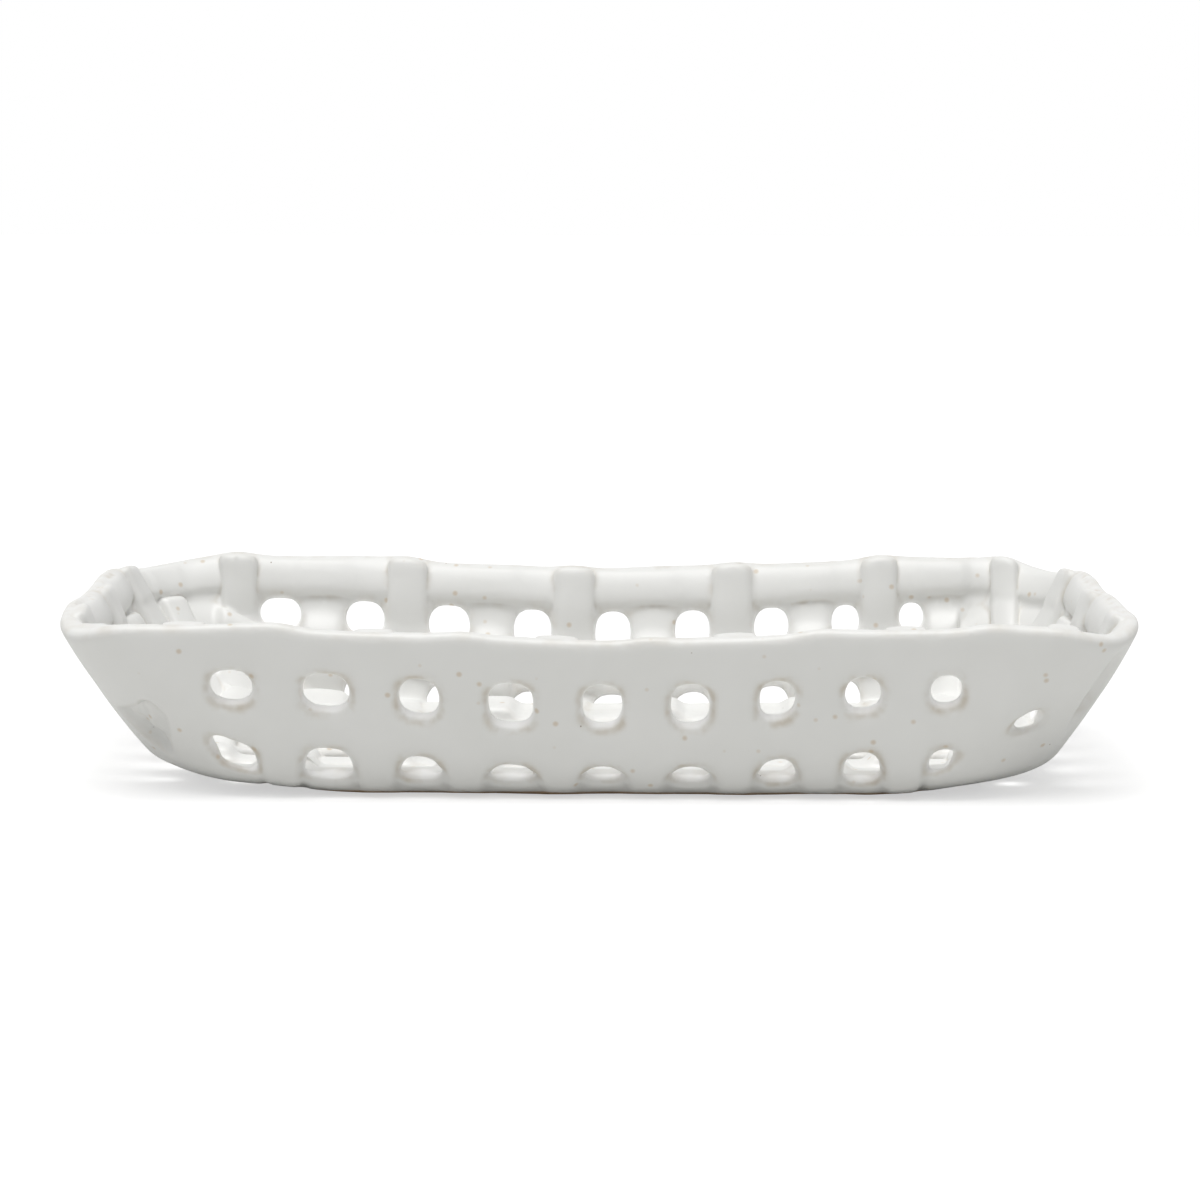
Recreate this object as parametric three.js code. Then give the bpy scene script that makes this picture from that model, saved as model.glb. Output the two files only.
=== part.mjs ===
// Woven ceramic basket dish, millimetres, +Z up, X along the length, origin under the centre of the base.
// Flat clay strips are laid into a boat shaped form: the outside stays flush with the form and every
// strip that crosses inside another one humps inwards over it.
import * as THREE from 'three';

// Overall form
const LENGTH = 345;
const WIDTH = 178;
const HEIGHT = 57;
const RIM_DIP = 4.5;
const LEFT_FLARE = 68;
const RIGHT_FLARE = 60;
const END_BULGE = 0.55;
const SIDE_FLARE = 30;
const FRONT_LEFT_CORNER = 28;
const FRONT_RIGHT_CORNER = 32;
const BACK_RIGHT_CORNER = 37;
const BACK_LEFT_CORNER = 40;
const CORNER_DIP = 3.8;
const END_SKEW = 11;
const FLOOR_ROUND = 0.97;
const FOOT_RADIUS = 16;

// Clay strips
const STRIP_WIDTH = 14;
const STRIP_THICK = 4.6;
const RIM_WIDTH = 14.5;
const RIM_THICK = 6;
const BAND_WIDTH = 13.5;
const BAND_SAG = 4.5;
const WALL_HOLE = 12.5;
const FOOT_SPREAD = 10;
const FOOT_OVERRUN = 20;
const FOOT_FADE = 28;
const CLEARANCE = 0.66;
const CROSSING_EDGE = 1;
const RIM_CROSSING_EDGE = 1.8;
const BAND_GAP = 1.6;
const STAKE_GAP = 2.6;
const SHORTEST_STAKE = 6;
const CORNER_BLEND = 2;
const WALK_STEP = 1.5;

// Weave
const CROSS_STRIPS = 11;
const LONG_STRIPS = 5;
const CROSS_SPAN = 0.803;
const CROSS_SHIFT = 0.0857;
const CROSS_DRIFT = -0.0365;
const BAND_RISE_START = 0.77;
const BAND_RISE_END = 0.94;

// Derived sizes
const HALF_LENGTH = LENGTH / 2;
const HALF_WIDTH = WIDTH / 2;
const LEFT_FLOOR = HALF_LENGTH - LEFT_FLARE;
const RIGHT_FLOOR = HALF_LENGTH - RIGHT_FLARE;
const FLOOR_WIDTH = HALF_WIDTH - SIDE_FLARE;
const FLOOR_CORNER = Math.min(LEFT_FLOOR, RIGHT_FLOOR, FLOOR_WIDTH) * FLOOR_ROUND;
const LONG_REACH = FLOOR_WIDTH - STRIP_WIDTH * 0.3;

const mix = (a, b, f) => a + (b - a) * f;
const smooth = (f) => {
  const c = Math.min(1, Math.max(0, f));
  return c * c * (3 - 2 * c);
};

// Hand-made plan: each corner of the rim has its own radius.
function rimCorner(x, y) {
  if (y < 0) return x < 0 ? FRONT_LEFT_CORNER : FRONT_RIGHT_CORNER;
  return x < 0 ? BACK_LEFT_CORNER : BACK_RIGHT_CORNER;
}

// Plan outline at one level of the wall: 0 is the edge of the floor, 1 is the rim. The ends are fuller,
// and the left one leans out further.
function outline(level, x, y) {
  const flare = x < 0 ? LEFT_FLARE : RIGHT_FLARE;
  return {
    a: HALF_LENGTH - flare + flare * level * (1 + END_BULGE * (1 - level)),
    b: mix(FLOOR_WIDTH, HALF_WIDTH, level),
    r: mix(FLOOR_CORNER, rimCorner(x, y), level),
  };
}

function outside(x, y, level) {
  const { a, b, r } = outline(level, x, y);
  const qx = Math.abs(x) - (a - r);
  const qy = Math.abs(y) - (b - r);
  return Math.hypot(Math.max(qx, 0), Math.max(qy, 0)) + Math.min(Math.max(qx, qy), 0) - r;
}

function levelAt(x, y) {
  if (outside(x, y, 0) <= 0) return 0;
  let low = 0;
  let high = 1.5;
  for (let k = 0; k < 40; k += 1) {
    const middle = (low + high) / 2;
    if (outside(x, y, middle) > 0) low = middle;
    else high = middle;
  }
  return (low + high) / 2;
}

// Wall angle that joins the rounded foot to the rim of the long side.
function wallAngle() {
  let low = 0.3;
  let high = 1.5;
  for (let k = 0; k < 50; k += 1) {
    const t = (low + high) / 2;
    const run = FOOT_RADIUS * Math.sin(t) + (HEIGHT - FOOT_RADIUS * (1 - Math.cos(t))) / Math.tan(t);
    if (run > SIDE_FLARE) low = t;
    else high = t;
  }
  return (low + high) / 2;
}
const WALL_ANGLE = wallAngle();

function rise(level) {
  const s = level * SIDE_FLARE;
  const arc = FOOT_RADIUS * Math.sin(WALL_ANGLE);
  if (s <= arc) return FOOT_RADIUS - Math.sqrt(FOOT_RADIUS ** 2 - s ** 2);
  return FOOT_RADIUS * (1 - Math.cos(WALL_ANGLE)) + (s - arc) * Math.tan(WALL_ANGLE);
}

// How far towards the middle of the long sides a place lies, from 0 near the ends to 1.
const middleDip = (x) => Math.cos((Math.min(1, Math.abs(x) / (HALF_LENGTH * 0.78)) * Math.PI) / 2) ** 2;

// The rim dips a little towards the middle of the long sides and again at the corners.
function rimScale(x, y) {
  const { a, b, r } = outline(1, x, y);
  const qx = Math.max(0, Math.abs(x) - (a - r) * 0.97);
  const qy = Math.max(0, Math.abs(y) - (b - r) * 0.9);
  const corner = (2 * qx * qy) / (qx * qx + qy * qy + CORNER_BLEND ** 2);
  return 1 - (RIM_DIP * middleDip(x) + CORNER_DIP * corner * corner) / HEIGHT;
}

const height = (x, y) => rimScale(x, y) * rise(levelAt(x, y));

// A point of the form moved inwards, square to its surface. The right end of the dish runs a little askew.
function place(x, y, depth) {
  const e = 0.02;
  const sx = (height(x + e, y) - height(x - e, y)) / (2 * e);
  const sy = (height(x, y + e) - height(x, y - e)) / (2 * e);
  const k = depth / Math.hypot(sx, sy, 1);
  const px = x - sx * k;
  const py = y - sy * k;
  const skew = END_SKEW * smooth((px / HALF_LENGTH - 0.35) / 0.65) * (py / WIDTH + 0.5);
  return new THREE.Vector3(px - skew, py, height(x, y) + k);
}

// Walk a distance over the surface along one plan direction.
function walk(x, y, dx, dy, distance) {
  const steps = Math.max(2, Math.ceil(Math.abs(distance) / WALK_STEP));
  const step = distance / steps;
  let px = x;
  let py = y;
  for (let k = 0; k < steps; k += 1) {
    const e = 0.05 * Math.sign(step || 1);
    const slope = (height(px + dx * e, py + dy * e) - height(px, py)) / e;
    const go = step / Math.hypot(1, slope);
    px += dx * go;
    py += dy * go;
  }
  return [px, py];
}

// Points of the plan outline: eight runs (side, corner, end, corner and so on) shared by every level.
const QUARTERS = [[1, -1], [1, 1], [-1, 1], [-1, -1]];
function ring(turn, level) {
  const arcs = (at) => QUARTERS.map(([sx, sy]) => {
    const { a, b, r } = outline(at, sx, sy);
    return { x: sx * (a - r), y: sy * (b - r), r };
  });
  const rim = arcs(1);
  const runs = [];
  for (let q = 0; q < 4; q += 1) {
    const from = rim[(q + 3) % 4];
    runs.push(q % 2 === 0 ? Math.abs(rim[q].x - from.x) : Math.abs(rim[q].y - from.y));
    runs.push((Math.PI / 2) * rim[q].r);
  }
  const total = runs.reduce((sum, run) => sum + run, 0);
  let left = (turn - Math.floor(turn)) * total;
  let index = 0;
  while (index < 7 && left > runs[index]) {
    left -= runs[index];
    index += 1;
  }
  const f = left / runs[index];
  const here = arcs(level);
  const quarter = Math.floor(index / 2);
  const out = (quarter - 1) * (Math.PI / 2);
  const end = here[quarter];
  if (index % 2 === 1) {
    const angle = out + f * (Math.PI / 2);
    return [end.x + Math.cos(angle) * end.r, end.y + Math.sin(angle) * end.r];
  }
  const start = here[(quarter + 3) % 4];
  const x = mix(start.x + Math.cos(out) * start.r, end.x + Math.cos(out) * end.r, f);
  const y = mix(start.y + Math.sin(out) * start.r, end.y + Math.sin(out) * end.r, f);
  return [x, y];
}

function inward(turn) {
  const [x1, y1] = ring(turn, 1);
  const [x0, y0] = ring(turn, 0.3);
  const size = Math.hypot(x0 - x1, y0 - y1);
  return [x1, y1, (x0 - x1) / size, (y0 - y1) / size];
}

// A band that runs round the wall at a distance below the rim edge.
function bandPath(distance) {
  const path = [];
  const count = 720;
  for (let k = 0; k < count; k += 1) {
    const turn = k / count;
    const [x, y, dx, dy] = inward(turn);
    path.push(walk(x, y, dx, dy, distance(x)));
  }
  path.push(path[0]);
  return path;
}

// The side band sags between its ends and rises to lie right under the rim round the ends of the dish.
const sideBand = RIM_WIDTH + WALL_HOLE + BAND_WIDTH / 2;
const endBand = RIM_WIDTH + BAND_GAP + BAND_WIDTH / 2;
const bandDrop = (x) => {
  const f = (Math.abs(x) / HALF_LENGTH - BAND_RISE_START) / (BAND_RISE_END - BAND_RISE_START);
  return mix(sideBand + BAND_SAG * middleDip(x), endBand, smooth(f));
};

// Straight plan line in small steps.
function linePath(x0, y0, x1, y1) {
  const count = Math.max(4, Math.ceil(Math.hypot(x1 - x0, y1 - y0)));
  const path = [];
  for (let k = 0; k <= count; k += 1) path.push([mix(x0, x1, k / count), mix(y0, y1, k / count)]);
  return path;
}

// Furthest plan point on a line that still lies under a level of the wall.
function rimReach(x, y, dx, dy, level) {
  let low = 0;
  let high = LENGTH;
  for (let k = 0; k < 50; k += 1) {
    const middle = (low + high) / 2;
    if (outside(x + dx * middle, y + dy * middle, level) < 0) low = middle;
    else high = middle;
  }
  return [x + dx * low, y + dy * low];
}

// Every strip: its plan path, its section and its place in the weave.
const strips = [];
function add(name, kind, index, path, width, thick, closed) {
  const s = [0];
  for (let k = 1; k < path.length; k += 1) {
    const [x0, y0] = path[k - 1];
    const [x1, y1] = path[k];
    s.push(s[k - 1] + Math.hypot(x1 - x0, y1 - y0, height(x1, y1) - height(x0, y0)));
  }
  const widthAt = typeof width === 'function' ? width : () => width;
  strips.push({ name, kind, index, path, s, widthAt, thick, closed, humps: [] });
}

const crossAt = (i) => {
  const f = (2 * i) / (CROSS_STRIPS - 1) - 1;
  return HALF_LENGTH * (CROSS_SHIFT + CROSS_SPAN * f + CROSS_DRIFT * f * f);
};
const longAt = (j) => mix(-LONG_REACH, LONG_REACH, j / (LONG_STRIPS - 1));

for (let i = 0; i < CROSS_STRIPS; i += 1) {
  const x = crossAt(i);
  const [, front] = rimReach(x, 0, 0, -1, 1);
  const [, back] = rimReach(x, 0, 0, 1, 1);
  const name = `cross_strip_${String(i + 1).padStart(2, '0')}`;
  add(name, 'cross', i, linePath(x, front, x, back), STRIP_WIDTH, STRIP_THICK, false);
}

// The two outer long strips are spread outwards, up the rounded foot, along the straight run of the floor.
const spread = (x) => {
  const floor = x < 0 ? LEFT_FLOOR : RIGHT_FLOOR;
  return FOOT_SPREAD * smooth((floor + FOOT_OVERRUN - Math.abs(x)) / FOOT_FADE);
};
for (let j = 0; j < LONG_STRIPS; j += 1) {
  const y = longAt(j);
  const outer = j === 0 || j === LONG_STRIPS - 1 ? Math.sign(y) : 0;
  const [left] = rimReach(0, y, -1, 0, 1);
  const [right] = rimReach(0, y, 1, 0, 1);
  const path = linePath(left, y, right, y).map(([px, py]) => [px, py + (outer * spread(px)) / 2]);
  const width = outer ? (px) => STRIP_WIDTH + spread(px) : STRIP_WIDTH;
  add(`long_strip_${j + 1}`, 'long', j, path, width, STRIP_THICK, false);
}
add('side_band', 'band', 0, bandPath(bandDrop), BAND_WIDTH, STRIP_THICK, true);
add('rim_band', 'rim', 0, bandPath(() => RIM_WIDTH / 2), RIM_WIDTH, RIM_THICK, true);

// A short stake fills each left corner, from the outer long strip up to the underside of the rim.
['front', 'back'].forEach((side, index) => {
  const sy = side === 'front' ? -1 : 1;
  const rim = outline(1, -1, sy);
  const angle = Math.PI / 4;
  const qx = rim.a - rim.r + rim.r * Math.cos(angle);
  const qy = rim.b - rim.r + rim.r * Math.sin(angle);
  const tx = 0.72;
  const ty = Math.sqrt(1 - tx * tx);
  const half = STRIP_WIDTH / 2;
  const keepX = Math.abs(crossAt(0)) + half + CLEARANCE;
  const keepY = LONG_REACH + half + CLEARANCE;
  const backX = (qx - ty * half - keepX) / tx;
  const backY = (qy - tx * half - keepY) / ty;
  const back = Math.max(SHORTEST_STAKE, Math.min(backX, backY));
  const [ex, ey] = walk(qx, qy, -tx, -ty, RIM_WIDTH + STAKE_GAP);
  const path = linePath(-qx + tx * back, sy * (qy - ty * back), -ex, sy * ey);
  add(`corner_stake_${side}`, 'stake', index, path, STRIP_WIDTH, STRIP_THICK, false);
});

// Which of two crossing strips lies inside, towards the hollow of the dish.
function firstInside(one, two) {
  const even = one.index % 2 === 0;
  if (one.kind === 'cross' && two.kind === 'long') return (one.index + two.index) % 2 === 0;
  if (one.kind === 'cross' && two.kind === 'rim') return even;
  if (one.kind === 'cross' && two.kind === 'band') return !even || one.index === CROSS_STRIPS - 1;
  return true;
}

// At the ends the side band lies right under the rim, and a long strip passes both on the same side.
function longInside(one, x) {
  return x < 0 ? one.index % 2 === 0 : (one.index + CROSS_STRIPS - 1) % 2 === 0;
}

// A strip that passes inside the side band and inside the rim right above it runs level over both.
function passesBoth(one, two) {
  return two.kind === 'band' && (one.kind === 'long' || (one.kind === 'cross' && one.index === CROSS_STRIPS - 1));
}

function crossings(one, two) {
  const found = [];
  for (let p = 1; p < one.path.length; p += 1) {
    const [ax, ay] = one.path[p - 1];
    const [bx, by] = one.path[p];
    for (let q = 1; q < two.path.length; q += 1) {
      const [cx, cy] = two.path[q - 1];
      const [dx, dy] = two.path[q];
      const det = (bx - ax) * (dy - cy) - (by - ay) * (dx - cx);
      if (Math.abs(det) < 1e-9) continue;
      const f = ((cx - ax) * (dy - cy) - (cy - ay) * (dx - cx)) / det;
      const g = ((cx - ax) * (by - ay) - (cy - ay) * (bx - ax)) / det;
      if (f < 0 || f >= 1 || g < 0 || g >= 1) continue;
      const u = new THREE.Vector3(bx - ax, by - ay, height(bx, by) - height(ax, ay)).normalize();
      const v = new THREE.Vector3(dx - cx, dy - cy, height(dx, dy) - height(cx, cy)).normalize();
      found.push({
        s: mix(one.s[p - 1], one.s[p], f),
        other: mix(two.s[q - 1], two.s[q], g),
        x: mix(ax, bx, f),
        lean: Math.abs(u.dot(v)),
      });
    }
  }
  return found;
}

for (let p = 0; p < strips.length; p += 1) {
  for (let q = p + 1; q < strips.length; q += 1) {
    let one = strips[p];
    let two = strips[q];
    if (one.kind === two.kind) continue;
    if (one.kind !== 'cross' && two.kind === 'stake') [one, two] = [two, one];
    if (one.kind === 'cross' && two.kind === 'stake') continue;
    if (one.kind === 'stake' && two.kind === 'long') continue;
    if (one.kind === 'band' && two.kind === 'rim') continue;
    for (const hit of crossings(one, two)) {
      const inside = one.kind === 'long' ? longInside(one, hit.x) : firstInside(one, two);
      const square = Math.sqrt(1 - hit.lean ** 2);
      const margin = two.kind === 'rim' ? RIM_CROSSING_EDGE : CROSSING_EDGE;
      const oneWidth = one.widthAt(hit.x);
      const twoWidth = two.widthAt(hit.x);
      const reachOne = (twoWidth + oneWidth * hit.lean) / (2 * square) + margin;
      const reachTwo = (oneWidth + twoWidth * hit.lean) / (2 * square) + margin;
      const under = passesBoth(one, two) ? RIM_THICK : two.thick;
      one.humps.push({ s: hit.s, reach: reachOne, lift: inside ? under + CLEARANCE : 0 });
      two.humps.push({ s: hit.other, reach: reachTwo, lift: inside ? 0 : one.thick + CLEARANCE });
    }
  }
}

// Lift of a strip off the form along its length, held level across each crossing.
function liftMarks(strip) {
  const total = strip.s[strip.s.length - 1];
  const marks = [];
  const humps = [...strip.humps].sort((m, n) => m.s - n.s);
  humps.forEach((hump, k) => {
    const before = k > 0 ? (humps[k - 1].s + hump.s) / 2 - 0.4 : -Infinity;
    const after = k + 1 < humps.length ? (humps[k + 1].s + hump.s) / 2 + 0.4 : Infinity;
    marks.push([Math.max(hump.s - hump.reach, before + 0.8), hump.lift]);
    marks.push([Math.min(hump.s + hump.reach, after - 0.8), hump.lift]);
  });
  if (strip.closed) {
    const first = marks[0];
    const last = marks[marks.length - 1];
    marks.unshift([last[0] - total, last[1]]);
    marks.push([first[0] + total, first[1]]);
  } else {
    marks.unshift([-1e6, marks.length ? marks[0][1] : 0]);
    marks.push([1e6, marks[marks.length - 1][1]]);
  }
  return marks;
}

function liftAt(marks, s) {
  for (let k = 1; k < marks.length; k += 1) {
    const [s0, n0] = marks[k - 1];
    const [s1, n1] = marks[k];
    if (s <= s1) return mix(n0, n1, smooth((s - s0) / Math.max(1e-6, s1 - s0)));
  }
  return marks[marks.length - 1][1];
}

function pointAt(strip, s) {
  const { path, s: run, closed } = strip;
  const last = path.length - 1;
  let k = 1;
  while (k < last && run[k] < s) k += 1;
  const f = (s - run[k - 1]) / (run[k] - run[k - 1]);
  const x = mix(path[k - 1][0], path[k][0], f);
  const y = mix(path[k - 1][1], path[k][1], f);
  const before = closed && k < 3 ? path[last - 2] : path[Math.max(0, k - 3)];
  const after = closed && k > last - 2 ? path[2] : path[Math.min(last, k + 2)];
  const dx = after[0] - before[0];
  const dy = after[1] - before[1];
  const size = Math.hypot(dx, dy);
  return [x, y, dx / size, dy / size];
}

// Places along a strip where a section is set: crossing edges, ramps and bends.
function stations(strip, marks) {
  const total = strip.s[strip.s.length - 1];
  const list = [0, total];
  for (let k = 0; k < marks.length; k += 1) {
    const [s0, n0] = marks[k];
    list.push(s0);
    if (k + 1 === marks.length) continue;
    const [s1, n1] = marks[k + 1];
    if (Math.abs(n1 - n0) > 0.1) {
      for (let j = 1; j < 3; j += 1) list.push(mix(s0, s1, j / 3));
    }
  }
  const inRange = list.filter((s) => s >= 0 && s <= total).sort((m, n) => m - n);
  const clean = inRange.filter((s, k) => k === 0 || s - inRange[k - 1] > 1e-3);
  const full = [clean[0]];
  for (let k = 1; k < clean.length; k += 1) {
    const parts = bends(strip, clean[k - 1], clean[k]);
    for (let j = 1; j <= parts; j += 1) full.push(mix(clean[k - 1], clean[k], j / parts));
  }
  return full;
}

// How many straight parts follow the form closely enough between two places on a strip.
function bends(strip, s0, s1) {
  const on = (s) => {
    const [x, y] = pointAt(strip, s);
    return new THREE.Vector3(x, y, height(x, y));
  };
  const chord = on(s0).lerp(on(s1), 0.5);
  const sag = chord.distanceTo(on((s0 + s1) / 2));
  return Math.max(1, Math.ceil(Math.sqrt(sag / (strip.closed ? 0.06 : 0.08))));
}

// Section corners: share of the half width and share of the thickness.
const FLAT_SECTION = [[-1, 0], [0, 0], [1, 0], [0.76, 1], [0, 1], [-0.76, 1]];
const ROUND_SECTION = [[-1, 0.05], [1, 0.05], [1, 0.5], [0.5, 1], [-0.5, 1], [-1, 0.5]];

function sweep(strip) {
  const marks = liftMarks(strip);
  const section = strip.kind === 'rim' ? ROUND_SECTION : FLAT_SECTION;
  const places = stations(strip, marks);
  if (strip.closed) places.pop();
  const points = [];
  for (const s of places) {
    const [x, y, dx, dy] = pointAt(strip, s);
    const lift = liftAt(marks, s);
    for (const [across, up] of section) {
      const [px, py] = across === 0 ? [x, y] : walk(x, y, -dy, dx, (across * strip.widthAt(x)) / 2);
      points.push(place(px, py, lift + up * strip.thick));
    }
  }
  const size = section.length;
  const count = places.length;
  const faces = [];
  const turns = strip.closed ? count : count - 1;
  for (let k = 0; k < turns; k += 1) {
    const here = k * size;
    const next = ((k + 1) % count) * size;
    for (let c = 0; c < size; c += 1) {
      const d = (c + 1) % size;
      faces.push([here + c, here + d, next + d], [here + c, next + d, next + c]);
    }
  }
  if (!strip.closed) {
    const end = (count - 1) * size;
    for (let c = 1; c + 1 < size; c += 1) {
      faces.push([0, c + 1, c], [end, end + c, end + c + 1]);
    }
  }
  const geometry = new THREE.BufferGeometry();
  geometry.setAttribute('position', new THREE.Float32BufferAttribute(points.flatMap((p) => [p.x, p.y, p.z]), 3));
  let volume = 0;
  for (const [i, j, k] of faces) {
    volume += points[i].dot(new THREE.Vector3().crossVectors(points[j], points[k]));
  }
  geometry.setIndex(faces.flatMap(([i, j, k]) => (volume > 0 ? [i, j, k] : [i, k, j])));
  geometry.computeVertexNormals();
  return geometry;
}

const glaze = new THREE.MeshStandardMaterial({ name: 'white_glaze', color: 0xe4e2dc, roughness: 0.3, metalness: 0 });
const dish = new THREE.Group();
dish.name = 'ceramic_basket_dish';
for (const strip of strips) {
  const mesh = new THREE.Mesh(sweep(strip), glaze);
  mesh.name = strip.name;
  dish.add(mesh);
}
const box = new THREE.Box3().setFromObject(dish);
const middle = box.getCenter(new THREE.Vector3());
dish.children.forEach((mesh) => mesh.geometry.translate(-middle.x, -middle.y, -box.min.z));

export default dish;
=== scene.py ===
# Ceramic basket dish: a long open basket woven from flat clay strips, glazed white and fired.
import math

import bpy
import numpy as np
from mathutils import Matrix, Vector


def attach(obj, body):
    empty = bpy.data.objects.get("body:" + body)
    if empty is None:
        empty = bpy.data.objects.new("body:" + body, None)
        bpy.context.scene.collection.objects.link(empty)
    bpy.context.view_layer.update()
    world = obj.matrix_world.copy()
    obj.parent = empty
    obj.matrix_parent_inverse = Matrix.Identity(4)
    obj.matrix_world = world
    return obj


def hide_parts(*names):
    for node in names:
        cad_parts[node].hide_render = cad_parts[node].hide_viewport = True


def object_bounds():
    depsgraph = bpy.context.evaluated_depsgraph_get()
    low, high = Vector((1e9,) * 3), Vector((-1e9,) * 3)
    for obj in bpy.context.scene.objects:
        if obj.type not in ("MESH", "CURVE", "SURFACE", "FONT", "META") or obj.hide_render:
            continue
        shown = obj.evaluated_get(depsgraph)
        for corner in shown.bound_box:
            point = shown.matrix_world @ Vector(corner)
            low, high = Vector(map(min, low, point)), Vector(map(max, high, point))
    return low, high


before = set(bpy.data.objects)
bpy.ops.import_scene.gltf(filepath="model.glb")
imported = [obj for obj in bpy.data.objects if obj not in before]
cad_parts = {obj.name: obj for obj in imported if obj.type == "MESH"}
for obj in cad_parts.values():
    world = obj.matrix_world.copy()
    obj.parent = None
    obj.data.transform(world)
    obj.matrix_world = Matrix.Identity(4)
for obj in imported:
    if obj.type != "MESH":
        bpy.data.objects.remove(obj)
cad_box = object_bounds()

# Press form.
# The dish is laid up strip by strip inside a boat-shaped form: flat floor with round ends, rounded foot,
# flared walls. Each point is given by where it lies on the form and how far it stands off it, in mm.
MM = 0.001
LENGTH = 345.0
WIDTH = 178.0
HEIGHT = 57.0
LEFT_FLARE = 68.0
RIGHT_FLARE = 60.0
SIDE_FLARE = 30.0
END_BULGE = 0.55
END_SKEW = 11.0
SKEW_START = 0.35
FOOT_RADIUS = 16.0
CORNERS = {"front_left": 28.0, "front_right": 32.0, "back_right": 37.0, "back_left": 40.0}
RIM_DIP = 4.5
DIP_REACH = 0.78
CORNER_DIP = 3.8
CORNER_DIP_START = (0.97, 0.9)
CORNER_DIP_SOFT = 2.0
HALF_LENGTH = LENGTH / 2
HALF_WIDTH = WIDTH / 2
FLOOR_WIDTH = HALF_WIDTH - SIDE_FLARE
FLOOR_ROUND = 0.97
FLOOR_CORNER = FLOOR_ROUND * FLOOR_WIDTH
FORM_SHIFT = cad_box[0][0] / MM + HALF_LENGTH
TOP_LEVEL = 1.5
FLATTEST_WALL, STEEPEST_WALL = 0.3, 1.5
LEVEL_HALVINGS, ANGLE_HALVINGS = 34, 50
SLOPE_STEP = 0.03


def mix(a, b, f):
    return a + (b - a) * f


def ease(f):
    f = np.clip(f, 0, 1)
    return f * f * (3 - 2 * f)


def corner_radius(x, y):
    front = np.where(x < 0, CORNERS["front_left"], CORNERS["front_right"])
    back = np.where(x < 0, CORNERS["back_left"], CORNERS["back_right"])
    return np.where(y < 0, front, back)


def half_length(level, x):
    flare = np.where(x < 0, LEFT_FLARE, RIGHT_FLARE)
    return HALF_LENGTH - flare + flare * level * (1 + END_BULGE * (1 - level))


def past_outline(x, y, level, corner):
    """How far a point lies outside the outline of the form at one level of the wall."""
    r = mix(FLOOR_CORNER, corner, level)
    qx = np.abs(x) - half_length(level, x) + r
    qy = np.abs(y) - mix(FLOOR_WIDTH, HALF_WIDTH, level) + r
    return np.hypot(np.maximum(qx, 0), np.maximum(qy, 0)) + np.minimum(np.maximum(qx, qy), 0) - r


def wall_level(x, y):
    """0 at the edge of the floor, 1 at the rim, and a little more above it."""
    corner = corner_radius(x, y)
    low = np.zeros(np.broadcast(x, y).shape)
    high = low + TOP_LEVEL
    for _ in range(LEVEL_HALVINGS):
        middle = (low + high) / 2
        out = past_outline(x, y, middle, corner) > 0
        low = np.where(out, middle, low)
        high = np.where(out, high, middle)
    return np.where(past_outline(x, y, 0.0, corner) <= 0, 0.0, (low + high) / 2)


def wall_angle():
    """The angle at which a straight wall on the rounded foot reaches the rim."""
    low, high = FLATTEST_WALL, STEEPEST_WALL
    for _ in range(ANGLE_HALVINGS):
        angle = (low + high) / 2
        straight = (HEIGHT - FOOT_RADIUS * (1 - math.cos(angle))) / math.tan(angle)
        run = FOOT_RADIUS * math.sin(angle) + straight
        low, high = (angle, high) if run > SIDE_FLARE else (low, angle)
    return angle


WALL_ANGLE = wall_angle()


def wall_rise(level):
    run = level * SIDE_FLARE
    arc = FOOT_RADIUS * math.sin(WALL_ANGLE)
    foot = FOOT_RADIUS - np.sqrt(FOOT_RADIUS ** 2 - np.minimum(run, arc) ** 2)
    return np.where(run <= arc, foot, foot + (run - arc) * math.tan(WALL_ANGLE))


def middle_dip(x):
    return np.cos(np.minimum(1, np.abs(x) / (DIP_REACH * HALF_LENGTH)) * math.pi / 2) ** 2


def rim_scale(x, y):
    """The rim dips at the middle of the long sides and again at the corners."""
    corner = corner_radius(x, y)
    qx = np.maximum(0, np.abs(x) - CORNER_DIP_START[0] * (HALF_LENGTH - corner))
    qy = np.maximum(0, np.abs(y) - CORNER_DIP_START[1] * (HALF_WIDTH - corner))
    turn = 2 * qx * qy / (qx * qx + qy * qy + CORNER_DIP_SOFT ** 2)
    return 1 - (RIM_DIP * middle_dip(x) + CORNER_DIP * turn ** 2) / HEIGHT


def form_height(x, y):
    return rim_scale(x, y) * wall_rise(wall_level(x, y))


def form_slopes(x, y):
    step = SLOPE_STEP
    sx = (form_height(x + step, y) - form_height(x - step, y)) / (2 * step)
    sy = (form_height(x, y + step) - form_height(x, y - step)) / (2 * step)
    return sx, sy


def on_form(x, y, off):
    """Points that stand off the form, square to it, in metres."""
    sx, sy = form_slopes(x, y)
    k = off / np.sqrt(sx * sx + sy * sy + 1)
    px = x - sx * k
    py = y - sy * k
    skew = END_SKEW * ease((px / HALF_LENGTH - SKEW_START) / (1 - SKEW_START)) * (py / WIDTH + 0.5)
    return np.stack([px - skew + FORM_SHIFT, py, form_height(x, y) + k], -1) * MM


# Clay grid.
# The form is ruled into a grid on which all the clay is shaped, with a third axis that stands off it.
# The lines lie closer together on the walls and at the lip, where the rolled clay turns most sharply.
FLOOR_STEP = 1.1
STEP_FADE = 14.0
LIP_ZONE = 26.0
LIP_FADE = 10.0
END_MARGIN, SIDE_MARGIN = 4.0, 3.0
BEFORE_END_WALL, BEFORE_SIDE_WALL = 12.0, 8.0
LEVEL_STEP = 0.05
WALL_START = 0.02
NO_WALL = 200.0
WAVES = 6
WAVE_RANGE = (0.7, 1.6)
LAST_PHASE = 6.3


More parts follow.
